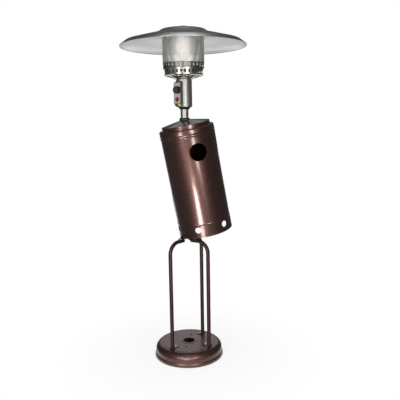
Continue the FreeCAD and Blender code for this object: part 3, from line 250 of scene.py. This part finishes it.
FINISHES = {
    "bronze_paint": hammered_bronze(
        "glossy_bronze", (0.12, 0.058, 0.048), (0.15, 0.074, 0.062), (0.28, 0.36), 1.0, 0.13),
    "zinc_steel": sheet_metal(
        "zinc_steel", (0.5, 0.51, 0.53), (0.66, 0.67, 0.68), (0.28, 0.42), EVEN, 90),
    "dark_fastener": sheet_metal(
        "dark_fastener", (0.07, 0.04, 0.034), (0.15, 0.085, 0.07), (0.3, 0.45), EVEN, 300),
    # painted shade: the ballast's near-black colour darkens what is seen through the base hole, in
    # place of the grey of concrete
    "concrete": cast(
        "concrete", (0.02, 0.02, 0.02), (0.05, 0.05, 0.05), 0.0, (0.7, 0.9), 140, 0.0008),
    "polished_steel": sheet_metal(
        "polished_steel", (0.6, 0.57, 0.52), (0.78, 0.75, 0.7), (0.1, 0.22), UPRIGHT, 120),
    "black_plastic": moulded(
        "black_plastic", (0.012, 0.012, 0.012), (0.03, 0.03, 0.03), (0.4, 0.55)),
    "red_plastic": moulded(
        "red_plastic", (0.32, 0.01, 0.016), (0.42, 0.016, 0.024), (0.2, 0.3)),
    "lime_dot": moulded(
        "lime_dot", (0.62, 0.76, 0.11), (0.7, 0.84, 0.16), (0.35, 0.45)),
    "valve_brass": sheet_metal(
        "valve_brass", (0.55, 0.4, 0.17), (0.75, 0.57, 0.28), (0.2, 0.35), EVEN, 200),
    "burner_iron": cast(
        "burner_iron", (0.06, 0.055, 0.05), (0.16, 0.15, 0.14), 0.7, (0.5, 0.75), 300, 0.0003),
    "heat_steel": sheet_metal(
        "heat_steel", (0.8, 0.78, 0.73), (0.88, 0.86, 0.81), (0.54, 0.62), (1, 1, 0.3), 60),
    "spun_aluminium": spun_metal(
        "spun_aluminium", (0.62, 0.63, 0.64), (0.72, 0.73, 0.74), (0.31, 0.38)),
    "copper_lead": sheet_metal(
        "copper_lead", (0.5, 0.25, 0.14), (0.72, 0.4, 0.25), (0.25, 0.4), EVEN, 300),
    "white_ceramic": moulded(
        "white_ceramic", (0.74, 0.73, 0.69), (0.86, 0.85, 0.81), (0.15, 0.25), 500),
    "rubber_lead": moulded(
        "rubber_lead", (0.02, 0.02, 0.02), (0.05, 0.05, 0.05), (0.55, 0.7)),
}

# finishes of single nodes, in place of their slot's
STAND_BRONZE = hammered_bronze(
    "satin_bronze", (0.105, 0.05, 0.043), (0.13, 0.063, 0.054), (0.38, 0.46), 0.6, 0.28)
# painted shade: the legs' bronze is a darker copy of the stand's paint, which stands in for the
# shade on the legs
SHADED_LEG_BRONZE = hammered_bronze(
    "shaded_leg_bronze", (0.066, 0.036, 0.033), (0.082, 0.045, 0.041), (0.5, 0.58), 0.0, 0.28)
# painted shade: a much darker copy of polished steel for the vent band under the emitter, darker
# than bare steel can be
SHADED_SATIN = sheet_metal(
    "shaded_satin_steel", (0.2, 0.19, 0.172), (0.26, 0.248, 0.225), (0.36, 0.44), UPRIGHT, 120)
CONE_STEEL = sheet_metal(
    "cone_steel", (0.36, 0.343, 0.31), (0.46, 0.44, 0.4), (0.3, 0.38), UPRIGHT, 120)
BRUSHED = sheet_metal(
    "brushed_steel", (0.46, 0.44, 0.405), (0.57, 0.55, 0.51), (0.42, 0.5), UPRIGHT, 120)
OWN_FINISH = {
    "control_housing": BRUSHED,
    "post": BRUSHED,
    "emitter_base": SHADED_SATIN,
    "burner_cone": CONE_STEEL,
    "base_shell": STAND_BRONZE,
    "leg_feet": STAND_BRONZE,
    "hub_plate": STAND_BRONZE,
    "leg_front_left": SHADED_LEG_BRONZE,
    "leg_front_right": SHADED_LEG_BRONZE,
    "leg_back_right": SHADED_LEG_BRONZE,
}


def dress_solids():
    """Give each solid its finish, and shade its curved faces smooth between sharp edges."""
    for entry in frame["record"]["subparts"]:
        solid = frame["nodes"][entry["node"]]
        solid.data.materials.clear()
        finish = OWN_FINISH.get(entry["node"], FINISHES[entry["material_slot"]])
        solid.data.materials.append(finish)
        solid.data.polygons.foreach_set("use_smooth", np.ones(len(solid.data.polygons), bool))
        weld = solid.modifiers.new("weld", "WELD")
        weld.merge_threshold = 5e-6
        crease = solid.modifiers.new("crease", "EDGE_SPLIT")
        crease.split_angle = math.radians(28)
        level = solid.modifiers.new("level", "WEIGHTED_NORMAL")
        level.keep_sharp = True


# pieces worked out here

def perforated_emitter(columns=110, rows=27, hole=0.0024):
    """Cells in staggered rows rolled into a tube. Each cell is a rectangle of eight border
    points round eight points of a circle, on the outer and on the inner radius."""
    sides = 8
    cell = 2 * sides
    pitch = TAU / columns
    rise = (EMITTER_HIGH - EMITTER_LOW) / rows
    width = pitch * EMITTER_RADIUS
    column, row = np.meshgrid(np.arange(columns), np.arange(rows), indexing="xy")
    centre_across = (column + 0.5 + 0.5 * (row % 2)) * width
    centre_up = (row + 0.5) * rise
    turns = np.arange(sides) * TAU / sides
    border = np.stack([np.sign(np.round(np.cos(turns), 6)) * width / 2,
                       np.sign(np.round(np.sin(turns), 6)) * rise / 2], axis=-1)
    ring = np.stack([np.cos(turns), np.sin(turns)], axis=-1) * hole
    shape = np.concatenate([border, ring])
    across = centre_across[..., None] + shape[:, 0]
    up = centre_up[..., None] + shape[:, 1]
    angle = across / EMITTER_RADIUS
    walls = []
    for radius in (EMITTER_RADIUS, EMITTER_RADIUS - EMITTER_WALL):
        walls.append(np.stack([radius * np.cos(angle), radius * np.sin(angle),
                               EMITTER_LOW + up], axis=-1))
    points = np.concatenate([wall.reshape(-1, 3) for wall in walls])
    count = columns * rows * cell
    step = np.arange(sides)
    after = (step + 1) % sides
    skin = np.stack([step, after, after + sides, step + sides], axis=-1)
    bore = np.stack([step, after, after + count, step + count], axis=-1) + sides
    first = np.arange(columns * rows)[:, None, None] * cell
    outer = (first + skin).reshape(-1, 4)
    inner = (first + skin[:, ::-1] + count).reshape(-1, 4)
    holes = (first + bore).reshape(-1, 4)
    # border points 5 to 7 lie along a cell's low side, and 1 to 3 along its high side
    low_edge = np.array([[5, 6, 6 + count, 5 + count], [6, 7, 7 + count, 6 + count]])
    high_edge = np.array([[1, 2, 2 + count, 1 + count], [2, 3, 3 + count, 2 + count]])
    low_cells = np.arange(columns)[:, None, None] * cell
    high_cells = low_cells + columns * (rows - 1) * cell
    rims = np.concatenate([(low_cells + low_edge).reshape(-1, 4),
                           (high_cells + high_edge).reshape(-1, 4)])
    faces = np.concatenate([outer, inner, holes, rims])
    return new_piece("emitter_mesh", points, faces, "stand", FINISHES["heat_steel"],
                     ["emitter_screen"], 40)


def grip_knob(around=160):
    """A flat round skirt with a raised bar across it: out from the back and up the rim by a
    profile, then inwards over the face, whose height falls off with the distance to the bar.
    Reaches are shares of the knob's radius and levels shares of its depth."""
    bar_turn = math.radians(80)
    bar_half, bar_blend = 0.27, 0.035
    bar_end, end_blend = 0.84, 0.025
    skirt_level, bar_rise = 0.38, 0.6
    back = np.array([[0.0, 0.0], [0.6, 0.0], [0.95, 0.0], [1.0, 0.04], [1.0, 0.3], [0.97, 0.36]])
    face = np.linspace(0.95, 0.0, 26)
    angle = np.arange(around) * TAU / around
    aside = np.abs(face[:, None] * np.sin(angle - bar_turn))
    rise = 1 / (1 + np.exp((aside - bar_half) / bar_blend))
    ends = 1 / (1 + np.exp((face[:, None] - bar_end) / end_blend))
    level = skirt_level + bar_rise * rise * ends
    lead = np.broadcast_to(back[:, 1:], (len(back), around))
    station = KNOB_BACK + KNOB_DEPTH * np.concatenate([lead, level])
    reach = KNOB_RADIUS * np.concatenate([back[:, 0], face])[:, None]
    local = np.stack([station, reach * np.cos(angle), KNOB_LINE + reach * np.sin(angle)], axis=-1)
    points = panel_frame(local).reshape(-1, 3)
    faces = grid_faces(len(back) + len(face), around)
    return new_piece("knob_grip", points, faces, "control_knob",
                     FINISHES["black_plastic"], ["control_knob"], 40)


def cross_screws(around=96):
    """Six domed screws. Each is a shank and head profile turned about its axis, then rings over
    the dome, which sinks by a smooth step inside the two bars of a cross."""
    slot_half, slot_blend = 0.0006, 0.0001
    slot_end, end_blend = 0.0026, 0.00015
    slot_depth = 0.0014
    low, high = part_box("control_screws")
    heights = (low.z + SCREW_HEAD, high.z - SCREW_HEAD)
    shank = np.array([[0.0, SCREW_TIP], [SCREW_SHANK, SCREW_TIP],
                      [SCREW_SHANK, SCREW_SEAT], [SCREW_HEAD, SCREW_SEAT]])
    reach = np.linspace(SCREW_HEAD, 0.0, 30)[:, None]
    angle = np.arange(around) * TAU / around
    across = np.abs(reach * np.cos(angle))
    along = np.abs(reach * np.sin(angle))
    dome = SCREW_SEAT + SCREW_DOME * (1 - (reach / SCREW_HEAD) ** 2) ** 0.5
    bars = [(across, along), (along, across)]
    sunk = sum(1 / (1 + np.exp((thin - slot_half) / slot_blend))
               / (1 + np.exp((long - slot_end) / end_blend))
               for thin, long in bars)
    station = np.concatenate([np.broadcast_to(shank[:, 1:], (len(shank), around)),
                              dome - slot_depth * np.clip(sunk, 0, 1)])
    radius = np.concatenate([shank[:, :1], reach])
    side, up = radius * np.cos(angle), radius * np.sin(angle)
    screws = []
    for height in heights:
        for turn in np.radians(SCREW_TURNS):
            screws.append(np.stack([station * np.cos(turn) - side * np.sin(turn),
                                    station * np.sin(turn) + side * np.cos(turn),
                                    height + up], axis=-1).reshape(-1, 3))
    quads = grid_faces(len(station), around)
    count = len(station) * around
    faces = np.concatenate([quads + index * count for index in range(len(screws))])
    return new_piece("cross_screws", np.concatenate(screws), faces, "stand",
                     FINISHES["polished_steel"], ["control_screws"], 40)


def blank_dot(around=48):
    """A thin round sticker with nothing on it, on the bevel under the control panel: rings of a
    low dome across the bevel's own plane."""
    slope = math.hypot(BEVEL_RUN, BEVEL_RISE)
    out = np.array([BEVEL_RISE, 0.0, -BEVEL_RUN]) / slope
    up = np.array([BEVEL_RUN, 0.0, BEVEL_RISE]) / slope
    side = np.array([0.0, 1.0, 0.0])
    middle = np.array([BEVEL_START + BEVEL_RUN / 2, DOT_ASIDE, NOSE_LOW + BEVEL_RISE / 2])
    radius = np.array([0.0, 0.5, 0.9, 0.98, 1.0, 1.0])[:, None, None] * DOT_RADIUS
    height = np.array([0.0006, 0.0006, 0.0006, 0.0005, 0.0003, 0.00005])[:, None, None]
    angle = (np.arange(around) * TAU / around)[None, :, None]
    local = middle + radius * (np.cos(angle) * side + np.sin(angle) * up) + height * out
    return new_piece("blank_dot", panel_frame(local).reshape(-1, 3), grid_faces(len(local), around),
                     "stand", FINISHES["lime_dot"], smooth_angle=50)


def studio():
    """A white room with a floor that keeps a faint shadow, cards seen only in the gloss, and
    lamps. The room is full white to the camera and in gloss, and dimmer as a light."""
    scene = bpy.context.scene
    scene.view_settings.view_transform = "Standard"
    world = bpy.data.worlds.new("white_room")
    scene.world = world
    world.use_nodes = True
    tree = world.node_tree
    backing = tree.nodes["Background"]
    backing.inputs["Color"].default_value = (1, 1, 1, 1)
    path = tree.nodes.new("ShaderNodeLightPath")
    glossy = tree.nodes.new("ShaderNodeMath")
    glossy.operation = "MAXIMUM"
    seen = tree.nodes.new("ShaderNodeMath")
    seen.operation = "MAXIMUM"
    level = tree.nodes.new("ShaderNodeMapRange")
    level.inputs["To Min"].default_value = 0.6
    level.inputs["To Max"].default_value = 1.0
    tree.links.new(path.outputs["Is Glossy Ray"], glossy.inputs[0])
    tree.links.new(path.outputs["Is Transmission Ray"], glossy.inputs[1])
    tree.links.new(path.outputs["Is Camera Ray"], seen.inputs[0])
    tree.links.new(glossy.outputs["Value"], seen.inputs[1])
    tree.links.new(seen.outputs["Value"], level.inputs["Value"])
    tree.links.new(level.outputs["Result"], backing.inputs["Strength"])
    floor()
    cards()
    lamps()
    burner_spot()


def stage_mesh(name, points, faces, finish):
    """A mesh of the studio, outside the object."""
    mesh = bpy.data.meshes.new(name)
    mesh.from_pydata(points.tolist(), [], faces.tolist())
    mesh.materials.append(finish)
    thing = bpy.data.objects.new(name, mesh)
    bpy.context.scene.collection.objects.link(thing)
    return thing


def floor():
    """A wide disc of rings. Under the base it only takes light, from the base's edge on it also
    glows, and from one metre out it is plain white."""
    around, height = 64, -0.0003
    rings = np.array([0.0, 0.5, 1.0, 2.0, 4.0, 8.0, 30.0])
    angle = np.arange(around) * TAU / around
    flat = np.stack([rings[:, None] * np.cos(angle), rings[:, None] * np.sin(angle),
                     np.full((len(rings), around), height)], axis=-1)
    finish = bpy.data.materials.new("white_floor")
    finish.use_nodes = True
    tree = finish.node_tree
    tree.nodes.remove(tree.nodes["Principled BSDF"])
    matt = tree.nodes.new("ShaderNodeBsdfDiffuse")
    matt.inputs["Color"].default_value = (0.86, 0.86, 0.86, 1)
    glow = tree.nodes.new("ShaderNodeEmission")
    path = tree.nodes.new("ShaderNodeLightPath")
    glossy = tree.nodes.new("ShaderNodeMath")
    glossy.operation = "MAXIMUM"
    seen = tree.nodes.new("ShaderNodeMath")
    seen.operation = "MAXIMUM"
    place = tree.nodes.new("ShaderNodeTexCoord")
    reach = tree.nodes.new("ShaderNodeVectorMath")
    reach.operation = "LENGTH"
    fade = tree.nodes.new("ShaderNodeValToRGB")
    fade.color_ramp.interpolation = "EASE"
    stops = fade.color_ramp.elements
    for spot, amount in ((0.23, 0.0), (0.24, 0.84)):
        stops.new(spot).color = (amount, amount, amount, 1)
    share = tree.nodes.new("ShaderNodeMath")
    share.operation = "MULTIPLY"
    mix = tree.nodes.new("ShaderNodeMixShader")
    links = tree.links
    links.new(path.outputs["Is Glossy Ray"], glossy.inputs[0])
    links.new(path.outputs["Is Transmission Ray"], glossy.inputs[1])
    links.new(path.outputs["Is Camera Ray"], seen.inputs[0])
    links.new(glossy.outputs["Value"], seen.inputs[1])
    links.new(place.outputs["Object"], reach.inputs[0])
    links.new(reach.outputs["Value"], fade.inputs["Fac"])
    links.new(fade.outputs["Color"], share.inputs[0])
    links.new(seen.outputs["Value"], share.inputs[1])
    links.new(share.outputs["Value"], mix.inputs["Fac"])
    links.new(matt.outputs["BSDF"], mix.inputs[1])
    links.new(glow.outputs["Emission"], mix.inputs[2])
    links.new(mix.outputs["Shader"], tree.nodes["Material Output"].inputs["Surface"])
    stage_mesh("floor", flat.reshape(-1, 3), grid_faces(len(rings), around), finish)


def cards():
    """Grey cards and a few bright reflectors round the heater, on the floor and overhead, which
    only reflections see."""
    # name, start and end in degrees, low and high edge, distance to the axis, brightness
    walls = (
        ("card_front", 245, 292, 0.0, 4.5, 4.6, 0.1),
        ("card_front_right", 292, 340, 0.0, 4.5, 4.6, 0.07),
        ("card_right", -20, 60, 0.0, 4.5, 4.6, 0.07),
        ("card_back", 60, 120, 0.0, 4.5, 4.6, 0.05),
        ("card_back_near", 60, 120, 0.7, 1.4, 2.0, 1.35),
        ("card_over_lid", 50, 130, 1.85, 2.15, 0.62, 0.42),
        ("card_back_left", 120, 180, 0.0, 4.5, 4.6, 0.07),
        ("card_left", 180, 245, 0.0, 4.5, 4.6, 0.08),
        ("card_left_middle", 180, 208, 1.7, 2.4, 4.5, 0.6),
        ("low_reflector", 257, 271, 0.0, 0.55, 2.0, 20.0),
        ("high_reflector", 260, 283, 2.4, 3.3, 3.2, 0.7),
    )
    for name, start, end, low, high, reach, level in walls:
        angle = np.radians(np.linspace(start, end, 16))
        shape = (2, len(angle))
        height = np.array([low, high])[:, None]
        sheet = np.stack([np.broadcast_to(reach * np.cos(angle), shape),
                          np.broadcast_to(reach * np.sin(angle), shape),
                          np.broadcast_to(height, shape)], axis=-1)
        card(name, sheet, level)
    # name, start and end in degrees, inner and outer radius, height, brightness
    flats = (
        ("card_floor", 125, 415, 0.35, 4.6, 0.003, 0.1),
        ("card_top", 0, 360, 0.0, 2.2, 4.5, 0.05),
        ("card_top_front", 135, 405, 2.2, 4.6, 4.5, 0.12),
        ("card_top_back", 45, 135, 2.2, 4.6, 4.5, 0.03),
        ("card_top_lamp", 235, 308, 1.2, 3.2, 4.4, 1.2),
        ("card_top_lip", 0, 360, 0.0, 0.7, 4.4, 1.3),
        ("floor_reflector", 256, 272, 1.55, 2.0, 0.006, 6.0),
    )
    for name, start, end, inner, outer, height, level in flats:
        angle = np.radians(np.linspace(start, end, 49))
        rings = np.array([inner, outer])[:, None]
        sheet = np.stack([rings * np.cos(angle), rings * np.sin(angle),
                          np.full((2, len(angle)), height)], axis=-1)
        card(name, sheet, level)


def card(name, sheet, level):
    """One card of an even brightness."""
    finish = bpy.data.materials.new(name)
    finish.use_nodes = True
    tree = finish.node_tree
    tree.nodes.remove(tree.nodes["Principled BSDF"])
    glow = tree.nodes.new("ShaderNodeEmission")
    glow.inputs["Strength"].default_value = level
    tree.links.new(glow.outputs["Emission"], tree.nodes["Material Output"].inputs["Surface"])
    thing = stage_mesh(name, sheet.reshape(-1, 3),
                       grid_faces(sheet.shape[0], sheet.shape[1], False), finish)
    thing.visible_camera = False
    thing.visible_diffuse = False
    thing.visible_shadow = False
    thing.visible_transmission = False


def lamps():
    """Soft area lamps in front and overhead, each turned to the middle of the heater."""
    # name, place, width, height, watts
    layout = (
        ("strip_right", (1.14, -2.88, 1.425), 0.6, 1.45, 33),
        ("strip_left", (-1.38, -2.89, 1.475), 0.6, 1.35, 31),
        ("overhead", (0.4, -0.6, 4.2), 1.8, 1.8, 6),
    )
    target = Vector((0, 0, 1.1))
    for name, spot, wide, tall, power in layout:
        lamp = bpy.data.lights.new(name, "AREA")
        lamp.shape = "RECTANGLE"
        lamp.size = wide
        lamp.size_y = tall
        lamp.energy = power
        holder = bpy.data.objects.new(name, lamp)
        holder.location = spot
        holder.rotation_euler = (target - Vector(spot)).to_track_quat("-Z", "Y").to_euler()
        bpy.context.scene.collection.objects.link(holder)


def burner_spot():
    """A narrow soft spot beside the camera, on the middle of the emitter."""
    place, target = (0.09, -3.3, 1.6), (0, -0.13, 2.06)
    watts, spread = 100, 4.4
    lamp = bpy.data.lights.new("burner_spot", "SPOT")
    lamp.energy = watts
    lamp.spot_size = math.radians(spread)
    lamp.spot_blend = 0.7
    lamp.shadow_soft_size = 0.12
    holder = bpy.data.objects.new("burner_spot", lamp)
    holder.location = place
    aim = Vector(target) - holder.location
    holder.rotation_euler = aim.to_track_quat("-Z", "Y").to_euler()
    bpy.context.scene.collection.objects.link(holder)


def camera():
    """The photograph's view: a little above the middle, looking down and slightly rolled."""
    lens = bpy.data.cameras.new("camera")
    lens.sensor_width = CAMERA_SENSOR
    lens.lens = CAMERA_LENS
    eye = bpy.data.objects.new("camera", lens)
    eye.matrix_world = (Matrix.Translation(CAMERA_PLACE)
                        @ Matrix.Rotation(math.radians(90 - CAMERA_PITCH), 4, "X")
                        @ Matrix.Rotation(math.radians(CAMERA_ROLL), 4, "Z"))
    bpy.context.scene.collection.objects.link(eye)
    bpy.context.scene.camera = eye


dress_solids()
perforated_emitter()
grip_knob()
cross_screws()
blank_dot()
studio()
camera()
